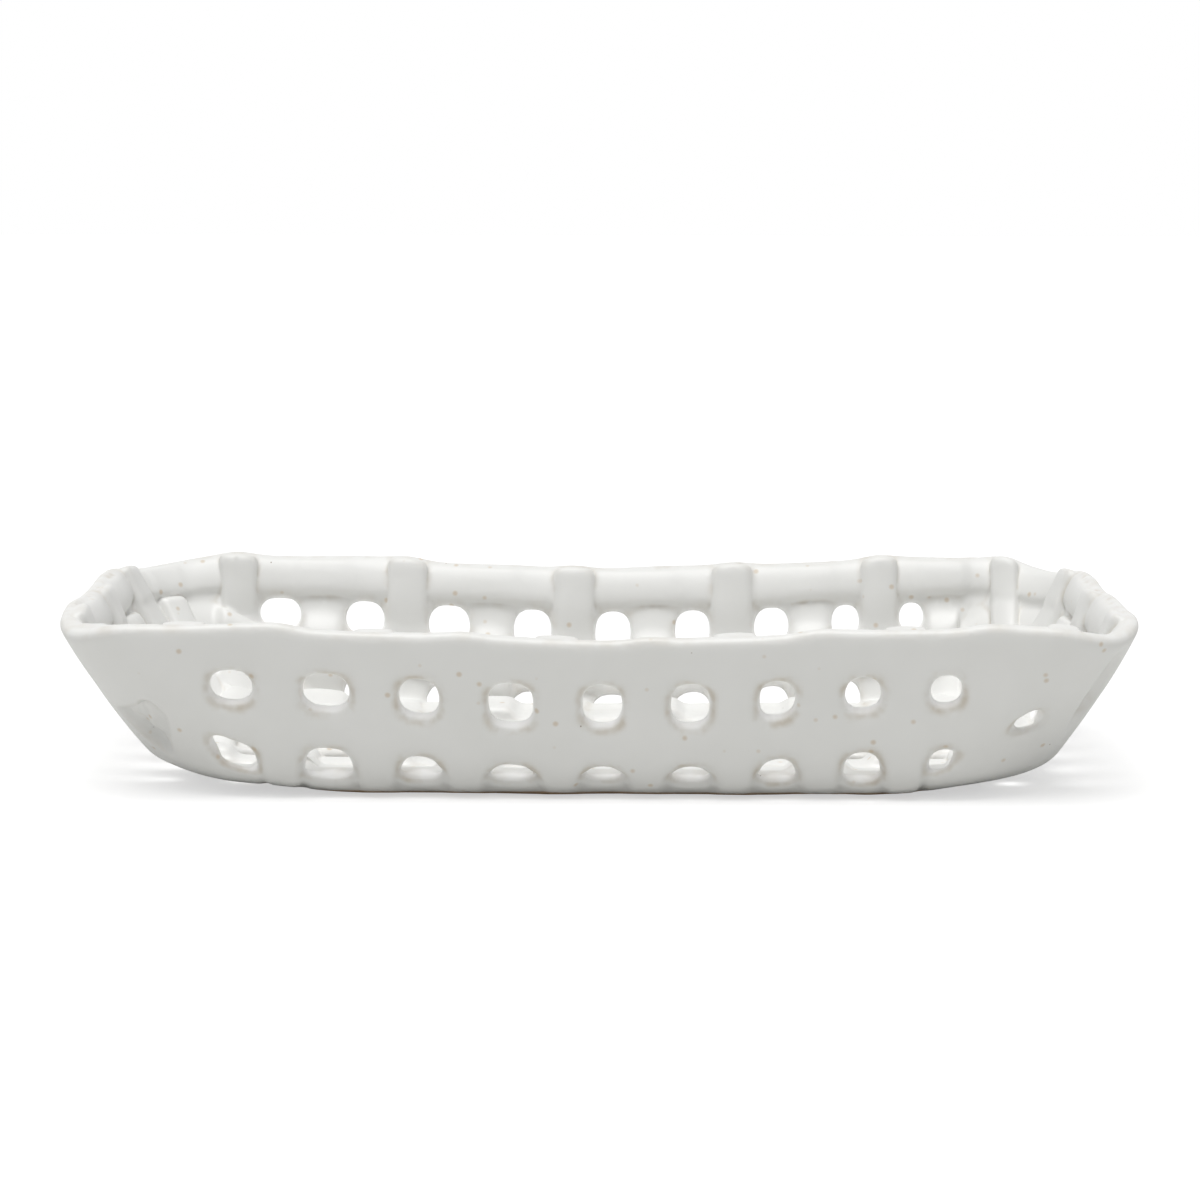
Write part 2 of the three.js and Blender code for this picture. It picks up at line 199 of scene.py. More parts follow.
def spaced(limit, flat, wall_step, lip_step):
    """Grid lines along one axis, closer together where the wall climbs and again at the lip."""
    half = [0.0]
    while half[-1] < limit:
        step = mix(FLOOR_STEP, wall_step, ease((half[-1] - flat) / STEP_FADE))
        step = mix(step, lip_step, ease((half[-1] - limit + LIP_ZONE) / LIP_FADE))
        half.append(half[-1] + float(step))
    half = np.array(half[1:])
    return np.concatenate([-half[::-1], [0.0], half])


GRID_X = spaced(HALF_LENGTH + END_MARGIN, HALF_LENGTH - LEFT_FLARE - BEFORE_END_WALL,
                wall_step=0.5, lip_step=0.3)
GRID_Y = spaced(HALF_WIDTH + SIDE_MARGIN, FLOOR_WIDTH - BEFORE_SIDE_WALL,
                wall_step=0.42, lip_step=0.4)
GRID_OFF = np.arange(start=-1.6, stop=12.2, step=0.7)
X = GRID_X[:, None]
Y = GRID_Y[None, :]


def hand(x, y, seed, size):
    """Slow hand-made unevenness between about -1 and 1, with bumps of the given size in mm."""
    rng = np.random.RandomState(seed)
    total = 0.0
    for _ in range(WAVES):
        angle = rng.uniform(0, 2 * math.pi)
        wave = 2 * math.pi / (size * rng.uniform(*WAVE_RANGE))
        along = x * math.cos(angle) + y * math.sin(angle)
        total = total + np.sin(along * wave + rng.uniform(0, LAST_PHASE))
    return total * 2 / WAVES


slope_x, slope_y = form_slopes(X, Y)
level = wall_level(X, Y)
level_x = (wall_level(X + LEVEL_STEP, Y) - wall_level(X - LEVEL_STEP, Y)) / (2 * LEVEL_STEP)
level_y = (wall_level(X, Y + LEVEL_STEP) - wall_level(X, Y - LEVEL_STEP)) / (2 * LEVEL_STEP)
run = 1 / np.maximum(np.hypot(level_x, level_y), 1e-3)
climb = rim_scale(X, Y) * SIDE_FLARE * math.tan(WALL_ANGLE)
below_rim = np.where(level > WALL_START, (1 - level) * np.hypot(run, climb), NO_WALL)

# Clay strips.
# Rolled stoneware strips: some laid across the floor and turned up the long walls, some laid along it and
# turned up the ends, a band woven round the walls and a thicker rim, all pressed together while soft.
STRIP_WIDTH = 14.5
STRIP_THICK = 5.4
WANDER = 0.7
CROSS_COUNT = 11
CROSS_MIDDLE = 0.0857
CROSS_REACH = 0.803
CROSS_CLOSER = 0.0365
LONG_COUNT = 5
LONG_INSET = 4.2
LONG_REACH = FLOOR_WIDTH - LONG_INSET
FOOT_SPREAD = 12.0
SPREAD_PAST_FLOOR = 20.0
SPREAD_FADE = 28.0
RIM_WIDTH = 14.5
RIM_THICK = 7.4
BAND_WIDTH = 12.5
BAND_SAG = 4.5
BAND_GAP = 1.2
BAND_WANDER = 0.5
BAND_RISE_START = 0.73
BAND_RISE_RUN = 0.19
WALL_HOLE = 12.5


def cross_place(index):
    f = 2 * index / (CROSS_COUNT - 1) - 1
    return HALF_LENGTH * (CROSS_MIDDLE + CROSS_REACH * f - CROSS_CLOSER * f * f)


def spread(index):
    """The two outer long strips are spread outwards, up the rounded foot."""
    outer = index in (0, LONG_COUNT - 1)
    return outer * FOOT_SPREAD * ease((half_length(0, X) + SPREAD_PAST_FLOOR - np.abs(X)) / SPREAD_FADE)


def across(kind, index):
    """Sideways distance of every grid point from the middle line of one strip, measured on the clay."""
    if kind == "cross":
        middle = cross_place(index) + WANDER * hand(Y, 0 * Y, seed=10 + index, size=90)
        return (X - middle) * np.sqrt(1 + slope_x ** 2)
    if kind == "long":
        middle = mix(-LONG_REACH, LONG_REACH, index / (LONG_COUNT - 1))
        middle = middle + WANDER * hand(X, 0 * X, seed=40 + index, size=110)
        middle = middle + spread(index) * np.sign(middle) / 2
        return (Y - middle) * np.sqrt(1 + slope_y ** 2)
    if kind == "rim":
        return below_rim - RIM_WIDTH / 2
    end = np.minimum(1, np.abs(X) / half_length(np.minimum(level, 1), X))
    rise = ease((end - BAND_RISE_START) / BAND_RISE_RUN)
    drop = mix(RIM_WIDTH + WALL_HOLE + BAND_SAG * middle_dip(X), RIM_WIDTH + BAND_GAP, rise)
    drop = drop + BAND_WIDTH / 2
    return below_rim - drop - BAND_WANDER * hand(X, Y, seed=70, size=60)


strips = []
for i in range(CROSS_COUNT):
    strips.append({"name": f"cross_strip_{i + 1:02d}", "kind": "cross", "index": i})
for j in range(LONG_COUNT):
    strips.append({"name": f"long_strip_{j + 1}", "kind": "long", "index": j})
strips.append({"name": "side_band", "kind": "band", "index": 0})
strips.append({"name": "rim_band", "kind": "rim", "index": 0})
for strip in strips:
    strip["width"] = {"band": BAND_WIDTH, "rim": RIM_WIDTH}.get(strip["kind"], STRIP_WIDTH)
    if strip["kind"] == "long":
        strip["width"] = STRIP_WIDTH + spread(strip["index"])
    strip["thick"] = RIM_THICK if strip["kind"] == "rim" else STRIP_THICK
    strip["side"] = across(strip["kind"], strip["index"])
cross_strips = strips[:CROSS_COUNT]
band_side = strips[CROSS_COUNT + LONG_COUNT]["side"]

# Corner stakes.
# Two short straps of the same rolled clay that lean into the left corners, one at the front and one at
# the back. They are pressed on inside the side band and stop under the rim.
STAKE_LENGTH = 17.0
STAKE_LEAN = (0.72, -0.694)
CORNER_CUT = 1 - math.sqrt(0.5)
for index, side in enumerate((-1, 1)):
    corner = CORNERS["front_left"] if side < 0 else CORNERS["back_left"]
    top_x = -(HALF_LENGTH - corner * CORNER_CUT)
    top_y = side * (HALF_WIDTH - corner * CORNER_CUT)
    lean_x, lean_y = STAKE_LEAN[0], STAKE_LEAN[1] * side
    along = (X - top_x) * lean_x + (Y - top_y) * lean_y
    sideways = (X - top_x) * lean_y - (Y - top_y) * lean_x
    tilt = np.sqrt(1 + (slope_x * lean_y - slope_y * lean_x) ** 2)
    strips.append({"name": "corner_stake_front" if side < 0 else "corner_stake_back", "kind": "stake",
                   "index": index, "width": STRIP_WIDTH, "thick": STRIP_THICK,
                   "side": sideways * tilt, "foot": along - STAKE_LENGTH})

# Weave.
# At each crossing one strip lies inside, towards the hollow, and is pressed down over the other one.
# Even cross strips pass inside the rim and outside the side band, and so on by turns over the floor.
ORDER = {"stake": 0, "cross": 1, "long": 2, "band": 3, "rim": 4}
PRESSED = 3.4
PRESSED_RIM = 0.8
LONG_PAST_RIM = 2.0
CROSS_PAST_RIM = 1.4
RAMP = 5.5
BAND_RAMP = 11.0
RIM_RAMP = 14.0
FLAT_TOP = 0.8
LIP_WAVE = 0.6
LIP_DROP = 0.5
LIP_PUSH = 1.1
LIP_PUSH_WIDTH = 7.5


def lies_inside(one, two):
    kinds = (one["kind"], two["kind"])
    even = one["index"] % 2 == 0
    if kinds == ("cross", "long"):
        return (one["index"] + two["index"]) % 2 == 0
    if kinds == ("cross", "rim"):
        return even
    if kinds == ("cross", "band"):
        return not even or one["index"] == CROSS_COUNT - 1
    if one["kind"] == "long":
        return even
    return one["kind"] == "stake" and two["kind"] == "band"


def lift_over(strip):
    """How far a strip stands off the form, being pressed over what it crosses."""
    lift = np.zeros((len(GRID_X), len(GRID_Y)))
    for other in strips:
        pair = {other["kind"], strip["kind"]}
        if len(pair) == 1 or pair in ({"stake", "cross"}, {"stake", "long"}, {"band", "rim"}):
            continue
        first, second = sorted((strip, other), key=lambda s: ORDER[s["kind"]])
        if lies_inside(first, second) != (first is strip):
            continue
        reach = np.abs(other["side"])
        press = PRESSED
        ramp = BAND_RAMP if pair == {"band", "cross"} and strip["kind"] == "cross" else RAMP
        if other["kind"] == "rim":
            reach = np.maximum(other["side"], 0)
            past_rim = LONG_PAST_RIM if strip["kind"] == "long" else CROSS_PAST_RIM
            press = RIM_THICK - STRIP_THICK + past_rim
            ramp = RIM_RAMP
        if other["kind"] == "stake":
            reach = np.maximum(reach, other["foot"] + other["width"] / 2)
        if strip["kind"] == "rim":
            press = PRESSED_RIM
        lift = np.maximum(lift, press * (1 - ease((reach - other["width"] / 2 + FLAT_TOP) / ramp)))
    return lift


def rim_top():
    """How far the lip stands above the rim line: the strips that end under it push it up a little."""
    top = LIP_WAVE * hand(X, Y, seed=90, size=45) - LIP_DROP
    for strip in cross_strips:
        odd = strip["index"] % 2
        push = np.where(Y < 0, LIP_PUSH * odd, LIP_PUSH * (1 - odd))
        top = top + push * np.exp(-(strip["side"] / LIP_PUSH_WIDTH) ** 2)
    return top


RIM_TOP = rim_top()

# Rolled clay.
# Each strip is a flat ribbon, rolled by hand, with soft edges and a slightly crowned inner face. The rim is
# rounder, with a thumbed lobe at the front left, and the straps thicken where they are folded under it.
FAR = 30.0
REACH = 14.0
STAKE_REACH = 18.0
STAKE_FOOT_REACH = 30.0
STAKE_TOP_REACH = 6.0
ABOVE_RIM = 7.0
HIGHEST = 1.35
SOFT_SIDE = 2.0
RIM_SOFT_SIDE = 2.4
CROWN = 1.2
CROWNS = {"rim": 1.5, "long": 0.5}
CROWN_PAST_SIDE = 1.2
WIDTH_WAVE = 0.05
THICK_WAVE = 0.25
LOBE_X, LOBE_Y = -160.0, -78.0
LOBE_SIZE = 15.0
LOBE_THICK = 2.6
RIM_LEAN = 0.5
STRAP_THICKER = 2.6
STRAP_FADE = 16.0
SPREAD_THICKER = 2.2
CROSS_END_DROP = 1.2
STAKE_TUCK = 1.5


def clay(strip, lift):
    """Distance field of one strip, inside the part of the grid that the strip reaches."""
    kind, index = strip["kind"], strip["index"]
    uneven = hand(X, Y, seed=100 + index + 20 * ORDER[kind], size=70)
    half = strip["width"] / 2 * (1 + WIDTH_WAVE * uneven)
    near = np.abs(strip["side"]) < strip["width"] / 2 + REACH
    near &= (below_rim > -ABOVE_RIM) & (level < HIGHEST)
    if kind == "stake":
        near = np.abs(strip["side"]) < strip["width"] / 2 + STAKE_REACH
        near &= (strip["foot"] < STAKE_FOOT_REACH) & (below_rim > RIM_WIDTH - STAKE_TOP_REACH)
    rows = np.flatnonzero(near.any(1))
    cols = np.flatnonzero(near.any(0))
    part = np.s_[rows[0]:rows[-1] + 1, cols[0]:cols[-1] + 1]
    side = np.abs(strip["side"][part])[..., None]
    half = half[part][..., None]
    edge = RIM_SOFT_SIDE if kind == "rim" else SOFT_SIDE
    thick = strip["thick"] + THICK_WAVE * hand(X, Y, seed=300 + index, size=45)[part][..., None]
    if kind == "rim":
        lobe = np.exp(-((X - LOBE_X) ** 2 + (Y - LOBE_Y) ** 2) / LOBE_SIZE ** 2)
        thick = thick + LOBE_THICK * lobe[part][..., None]
        thick = thick + RIM_LEAN * np.clip(2 * strip["side"] / RIM_WIDTH, -1, 1)[part][..., None]
    if kind == "cross" and index % 2 == 0:
        thick = thick + STRAP_THICKER * (1 - np.clip(below_rim / STRAP_FADE, 0, 1))[part][..., None]
    if kind == "long":
        thick = thick + SPREAD_THICKER / FOOT_SPREAD * spread(index)[part[0]][..., None]
    thick = thick - CROWNS.get(kind, CROWN) * np.minimum(side / half, CROWN_PAST_SIDE) ** 2
    off = GRID_OFF[None, None, :] - lift[part][..., None]
    end_drop = CROSS_END_DROP if kind == "cross" else 0.0
    a = side - half + edge
    b = np.abs(off - thick / 2) - thick / 2 + np.minimum(edge, thick / 2)
    c = (-below_rim - RIM_TOP + end_drop)[part][..., None] + edge
    if kind == "stake":
        c = np.maximum(strip["foot"], RIM_WIDTH - STAKE_TUCK - below_rim)[part][..., None] + edge
    box = np.sqrt(np.maximum(a, 0) ** 2 + np.maximum(b, 0) ** 2 + np.maximum(c, 0) ** 2)
    field = box + np.minimum(np.maximum(np.maximum(a, b), c), 0) - np.minimum(edge, thick / 2)
    return part, np.where(near[part][..., None], field, FAR).astype(np.float32)


# Pressed joints.
# Soft clay squeezed into the corners of each crossing, so the strips read as one fired piece and the gaps
# between them become rounded holes. Towards both ends the gaps are smeared shut.
JOINT = 1.1
HOLE_ROUND = 8.0


def join(a, b, size):
    """Two fields run together with a fillet."""
    h = np.maximum(size - np.abs(a - b), 0) / size
    return np.minimum(a, b) - h * h * size / 4


shape = (len(GRID_X), len(GRID_Y), len(GRID_OFF))
skin = np.full(shape, FAR, np.float32)
nearest = np.full(shape, FAR, np.float32)
second = np.full(shape, FAR, np.float32)
owner = np.full(shape, -1, np.int8)
woven = np.full(shape[:2], FAR)
for number, strip in enumerate(strips):
    part, field = clay(strip, lift_over(strip))
    strip["part"], strip["field"] = part, field
    skin[part] = join(skin[part], field, JOINT)
    closer = field < nearest[part]
    second[part] = np.where(closer, nearest[part], np.minimum(second[part], field))
    owner[part] = np.where(closer, number, owner[part])
    nearest[part] = np.minimum(nearest[part], field)
    edge = np.abs(strip["side"]) - strip["width"] / 2
    if strip["kind"] == "rim":
        edge = strip["side"] - strip["width"] / 2
    if strip["kind"] == "stake":
        edge = np.maximum(edge, np.maximum(strip["foot"], RIM_WIDTH - below_rim))
    woven = join(woven, edge, HOLE_ROUND)

OPEN_BELOW_RIM = 60.0
LEFT_LOW_EDGE, LEFT_LOW_START = 42.0, 100.0
RIGHT_LOW_EDGE, RIGHT_LOW_START = 39.5, 88.0
LOW_EDGE_RUN = 45.0
LOW_INSIDE_Y = 44.0
LOW_INSIDE_X = 92.0
CORNER_Y = -45.0
FIRST_CROSS = cross_place(0)
LAST_OPEN_CROSS = cross_place(CROSS_COUNT - 2)
left_low = mix(OPEN_BELOW_RIM, LEFT_LOW_EDGE, ease((-X - LEFT_LOW_START) / LOW_EDGE_RUN))
right_low = mix(OPEN_BELOW_RIM, RIGHT_LOW_EDGE, ease((X - RIGHT_LOW_START) / LOW_EDGE_RUN))
low_edge = np.where(X < 0, left_low, right_low) - below_rim
low_edge = np.maximum(low_edge, LOW_INSIDE_Y - np.abs(Y))
smears = [
    np.maximum(band_side, X - FIRST_CROSS),
    np.maximum(band_side, LAST_OPEN_CROSS - X),
    np.maximum(low_edge, LOW_INSIDE_X - np.abs(X)),
    np.maximum(X - FIRST_CROSS, Y - CORNER_Y),
]
holes = woven
for smear in smears:
    holes = join(holes, smear, HOLE_ROUND)

# Outer face.
# The outside is wiped smooth with a wet finger, which rounds the holes and the lip, leaves a ledge between
# the straps at the foot, and a hollow in the left front corner and at the right end.
SOFT_EDGE = 1.9
SOFT_DEEP = 1.3
SOFT_CURVE = 1.5
LIP_ABOVE = 0.6
LIP_SOFT = (1.8, 2.4)
LEDGE_PINCH = 2.5
PINCH_LEVEL = 0.6
LEDGE_DEEP = 0.7
LEDGE_RUN = 3.5
LEDGE_Y = (1.0, 7.0)
GROOVE_DEEP = 1.5
GROOVE_PLACE = 0.5
GROOVE_WIDTH = 1.7
GROOVE_LEVEL = (0.14, 0.16)
LEDGE_BELOW_BAND = (2.0, 5.0)
LEDGE_END = 112.0
LEDGE_END_FADE = 12.0
LEDGE_INSIDE_Y = 40.0
HOLLOW_GAP = 1.4
HOLLOW_FADE = 6.0
HOLLOW_BAND_FADE = 4.0
HOLLOW_DEEP = 3.7
HOLLOW_ROUGH = 0.9
HOLLOW_BACKING = 4.6
DENT_X, DENT_Y = 157.5, -66.7
DENT_LEAN = 0.5
DENT_SIZE = (5.5, 7.0)
DENT_DEEP = 3.2
DENT_EDGE = (1.4, 0.7)
WIPED = 0.3
past_lip = -below_rim - RIM_TOP
above = past_lip - LIP_ABOVE
footprint = np.maximum(holes, above)
turn = np.clip((holes + SOFT_EDGE) / SOFT_EDGE, 0, 1)
lip = np.clip((past_lip + LIP_SOFT[0]) / LIP_SOFT[1], 0, 1)
soft = np.maximum(SOFT_DEEP * turn ** SOFT_CURVE, SOFT_DEEP * lip ** 2)

pinch = LEDGE_PINCH * np.clip(1 - level / PINCH_LEVEL, 0, 1)
beside = np.min([np.abs(strip["side"]) - strip["width"] / 2 for strip in cross_strips], 0) + pinch
ledge = ease(beside / LEDGE_RUN) * ease((np.abs(Y) - FLOOR_WIDTH - LEDGE_Y[0]) / LEDGE_Y[1])
groove = np.exp(-((beside - GROOVE_PLACE) / GROOVE_WIDTH) ** 2)
groove = groove * ease((level - GROOVE_LEVEL[0]) / GROOVE_LEVEL[1])
ledge = LEDGE_DEEP * ledge + GROOVE_DEEP * groove
ledge = ledge * ease((band_side - BAND_WIDTH / 2 - LEDGE_BELOW_BAND[0]) / LEDGE_BELOW_BAND[1])
ledge = ledge * ease((LEDGE_END - np.abs(X)) / LEDGE_END_FADE) * (np.abs(Y) > LEDGE_INSIDE_Y)

corner_zone = ease(woven / HOLLOW_GAP) * ease((CORNER_Y - Y) / HOLLOW_FADE)
corner_zone = corner_zone * ease((FIRST_CROSS - X) / HOLLOW_FADE) * ease(band_side / HOLLOW_BAND_FADE)
corner_hollow = corner_zone * (HOLLOW_DEEP + HOLLOW_ROUGH * hand(X, Y, seed=210, size=8))
dent_x = (X - DENT_X + DENT_LEAN * (Y - DENT_Y)) / DENT_SIZE[0]
dent = np.hypot(dent_x, (Y - DENT_Y) / DENT_SIZE[1])
dent = DENT_DEEP * ease((DENT_EDGE[0] - dent) / DENT_EDGE[1])
wiped = WIPED * np.clip(1 + hand(X, Y, seed=200, size=38), 0, 2)
outer = wiped + soft + ledge + corner_hollow + dent

# Webs.
# Thin clay that fills the smeared gaps from behind and rounds the holes into tunnels, a little narrower
# on the inside and with a sill along the side band. Fine seams stay on the inner face at the joints.
WEB_DEEP = 5.0
WEB_THIN = 3.0
WEB_GAP = (1.0, 3.0)
WEB_ROUND = 1.5
TAPER = 0.5
SILL = 0.9
SILL_WIDTH = 2.5
TAPER_RUN = 5.0
SEAM_WIDTH = 0.7
SEAM_DEEP = 0.45
SEAM_OFF = (3.5, 2.0)
thinned = ease((woven - WEB_GAP[0]) / WEB_GAP[1]) * (1 - corner_zone)
depth = mix(WEB_DEEP, WEB_THIN, thinned) + HOLLOW_BACKING * corner_zone + dent
depth = depth[..., None]
slab = np.abs(GRID_OFF[None, None, :] - depth / 2) - depth / 2
sill = TAPER + SILL * np.exp(-((band_side + BAND_WIDTH / 2) / SILL_WIDTH) ** 2)
narrow = holes[..., None] - sill[..., None] * ease(GRID_OFF / TAPER_RUN)
narrow = np.maximum(narrow, above[..., None]) + WEB_ROUND
slab = slab + WEB_ROUND
web = np.hypot(np.maximum(narrow, 0), np.maximum(slab, 0))
web = web + np.minimum(np.maximum(narrow, slab), 0) - WEB_ROUND
skin = join(skin, web, JOINT)
seam = np.exp(-((second - nearest) / SEAM_WIDTH) ** 2) * ease((GRID_OFF - SEAM_OFF[0]) / SEAM_OFF[1])
skin = skin + SEAM_DEEP * seam
skin = np.maximum(skin, outer[..., None] - GRID_OFF[None, None, :]).astype(np.float32)

# Fired pieces.
# Each strip gets its own closed skin, cut from the pressed clay and ending a little inside its neighbours,
# with the marks that the glaze needs: how sharply it bends, where it wears along edges and seams, a painted
# shade ring round each hole, and a painted highlight on the lips of holes.
LAP = 1.5
LAP_SINK = 0.12
OUTSIDE = 5.0
BEND_LIMIT = 3.0
BEND_ROUNDS = 3
WHOLE_ROUNDS = 4
PIECE_ROUNDS = 1
SAME_WAY = 0.6
# The ring round each hole on the outer face is painted shade, with a tan glaze line in it.
RING_PLACE = -0.8
RING_WIDTH = 0.8
RING_SHADE_AND_WEAR = 0.6
RING_OFF = (3.2, 1.5)
EDGE_PLACE = -0.1
EDGE_WIDTH = 1.5
EDGE_WORN = 0.3
SEAM_WORN = 0.8
# Painted highlight on the lips of holes: where it starts and how far up the wall it reaches.
LIP_HIGHLIGHT_EDGE = (-0.4, 0.7)
LIP_HIGHLIGHT_LEVEL = (0.05, 0.2)


def pairs_along(axis, gap):
    """Slices that pick each grid point and the one a given number of steps further along an axis."""
    low = [slice(None)] * 3
    high = [slice(None)] * 3
    low[axis], high[axis] = slice(None, -gap), slice(gap, None)
    return tuple(low), tuple(high)


def blurred(values, times):
    for _ in range(times):
        for axis in range(3):
            ends = np.pad(values, [(1, 1) if k == axis else (0, 0) for k in range(3)], mode="edge")
            low, high = pairs_along(axis, 2)
            values = values / 2 + ends[low] / 4 + ends[high] / 4
    return values


bend = blurred(np.clip(skin, -BEND_LIMIT, BEND_LIMIT), BEND_ROUNDS)


def at_grid(values, x, y, off):
    """Value of a grid at any point, blended from the eight grid points around it."""
    if values.ndim == 2:
        values = np.repeat(values[..., None], 2, 2)
    total = 0.0
    found = []
    for line, place in ((GRID_X, x), (GRID_Y, y), (GRID_OFF[:values.shape[2]], off)):
        k = np.clip(np.searchsorted(line, place) - 1, 0, len(line) - 2)
        found.append((k, np.clip((place - line[k]) / (line[k + 1] - line[k]), 0, 1)))
    for corner in range(8):
        index, weight = [], 1.0
        for axis, (k, f) in enumerate(found):
            step = corner >> axis & 1
            index.append(k + step)
            weight = weight * (f if step else 1 - f)
        total = total + weight * values[tuple(index)]
    return total


def wrap(field, lines):
    """Closed quad mesh of the surface where a field changes sign: one point per cell, one quad per edge."""
    field = np.pad(field, 1, constant_values=OUTSIDE)
    lines = [np.concatenate([[2 * g[0] - g[1]], g, [2 * g[-1] - g[-2]]]) for g in lines]
    inside = field < 0
    cells = tuple(n - 1 for n in field.shape)
    count = np.zeros(cells, np.int8)
    sums = [np.zeros(cells, np.float32) for _ in range(3)]
    crossed = []
    for axis in range(3):
        low, high = pairs_along(axis, 1)
        hit = inside[low] != inside[high]
        at = np.argwhere(hit)
        crossed.append(at)
        f0 = field[low][hit]
        f1 = field[high][hit]
        points = [lines[k][at[:, k]] for k in range(3)]
        points[axis] = mix(points[axis], lines[axis][at[:, axis] + 1], f0 / (f0 - f1))
        a, b = [k for k in range(3) if k != axis]
        for da in (0, 1):
            for db in (0, 1):
                cell = at.copy()
                cell[:, a] -= da
                cell[:, b] -= db
                flat = np.ravel_multi_index(cell.T, cells)
                np.add.at(count.reshape(-1), flat, 1)
                for k in range(3):
                    np.add.at(sums[k].reshape(-1), flat, points[k].astype(np.float32))
    used = count > 0
    number = np.full(cells, -1, np.int64)
    number[used] = np.arange(used.sum())
    places = [s[used] / count[used] for s in sums]
    quads = []
    for axis, at in enumerate(crossed):
        a, b = [k for k in range(3) if k != axis]
        corners = []
        for da, db in ((1, 1), (0, 1), (0, 0), (1, 0)):
            cell = at.copy()
            cell[:, a] -= da
            cell[:, b] -= db
            corners.append(number[tuple(cell.T)])
        quad = np.stack(corners, 1)
        outward = inside[tuple(at.T)]
        if axis == 1:
            outward = ~outward
        quads.append(np.where(outward[:, None], quad, quad[:, ::-1]))
    return places, np.concatenate(quads), np.argwhere(used)


def point_normals(points, quads, rounds):
    """Normals at the points, evened out with those of their neighbours a few times."""
    corners = [points[quads[:, k]] for k in range(4)]
    faces = np.cross(corners[2] - corners[0], corners[3] - corners[1])
    for _ in range(rounds):
        sums = [np.bincount(quads.ravel(), np.repeat(faces[:, k], 4), len(points)) for k in range(3)]
        total = np.stack(sums, 1)
        total = total / np.maximum(np.linalg.norm(total, axis=1, keepdims=True), 1e-12)
        faces = total[quads].sum(1)
    return total


(x, y, off), quads, cells = wrap(skin, (GRID_X, GRID_Y, GRID_OFF))
points = on_form(x.astype(float), y.astype(float), off.astype(float))
whole = point_normals(points, quads, WHOLE_ROUNDS)
whole_at = np.full([n + 1 for n in shape], -1, np.int32)
whole_at[tuple(cells.T)] = np.arange(len(cells))


def glaze_marks(x, y, off):
    """Where the glaze bends, where it wears along edges and seams, the painted shade ring round holes, and
    the painted highlight on their lips.
    """
    ring = at_grid(holes, x, y, off)
    edge = at_grid(footprint, x, y, off)
    # Painted shade ring round the holes, partly a tan line; real wear along edges and seams.
    wear_and_shade = RING_SHADE_AND_WEAR * np.exp(-((ring - RING_PLACE) / RING_WIDTH) ** 2)
    wear_and_shade = wear_and_shade * ease((RING_OFF[0] - off) / RING_OFF[1])
    wear_and_shade = wear_and_shade + EDGE_WORN * np.exp(-((edge - EDGE_PLACE) / EDGE_WIDTH) ** 2)
    wear_and_shade = wear_and_shade + SEAM_WORN * at_grid(seam, x, y, off)
    # Painted highlight that whitens the lips of holes.
    painted_lip_highlight = ease((ring - LIP_HIGHLIGHT_EDGE[0]) / LIP_HIGHLIGHT_EDGE[1])
    painted_lip_highlight = painted_lip_highlight * ease((at_grid(level, x, y, off) - LIP_HIGHLIGHT_LEVEL[0]) / LIP_HIGHLIGHT_LEVEL[1])
    return {"bend": at_grid(bend, x, y, off), "wear_and_shade": wear_and_shade, "painted_lip_highlight": painted_lip_highlight}


def fired_piece(number, strip):
    """One strip as a closed mesh whose shading runs on smoothly into its neighbours."""
    part = strip["part"]
    other = np.where(owner[part] == number, second[part], nearest[part])
    beyond = 0.5 * (strip["field"] - other)
    field = np.maximum(skin[part] + LAP_SINK * np.clip(beyond, 0, LAP) ** 2, beyond - LAP)
    (x, y, off), quads, cells = wrap(field, (GRID_X[part[0]], GRID_Y[part[1]], GRID_OFF))
    points = on_form(x.astype(float), y.astype(float), off.astype(float))
    normals = point_normals(points, quads, PIECE_ROUNDS)
    match = whole_at[cells[:, 0] + part[0].start, cells[:, 1] + part[1].start, cells[:, 2]]
    same = (match >= 0) & ((normals * whole[match]).sum(1) > SAME_WAY)
    normals[same] = whole[match[same]]
    mesh = bpy.data.meshes.new(strip["name"])
    mesh.vertices.add(len(points))
    mesh.vertices.foreach_set("co", points.astype(np.float32).ravel())
    mesh.loops.add(quads.size)
    mesh.loops.foreach_set("vertex_index", quads.astype(np.int32).ravel())
    mesh.polygons.add(len(quads))
    mesh.polygons.foreach_set("loop_start", np.arange(0, quads.size, 4, dtype=np.int32))
    mesh.polygons.foreach_set("use_smooth", np.ones(len(quads), bool))
    mesh.update(calc_edges=True)
    mesh.normals_split_custom_set_from_vertices(normals)
    for name, values in glaze_marks(x, y, off).items():
        layer = mesh.attributes.new(name, "FLOAT", "POINT")
        layer.data.foreach_set("value", values.astype(np.float32))
    piece = bpy.data.objects.new(strip["name"] + "_glazed", mesh)
    bpy.context.collection.objects.link(piece)
    return piece


# White glaze.
# Satin white stoneware glaze, dipped and fired: nearly opaque, with a painted highlight on the lips of
# holes and a painted shade ring round them, warm where it breaks on edges, with iron specks from the clay.
# The foot is wiped bare and shows tan clay.
GLAZE_THIN, GLAZE_FULL = "#E4E4E1", "#ECECEA"
# Painted highlight: whiter glaze on the lips of holes, standing in for light falling on them.
PAINTED_LIP_HIGHLIGHT = "#FCFCFB"
GLAZE_BROKEN = "#C9BBA4"
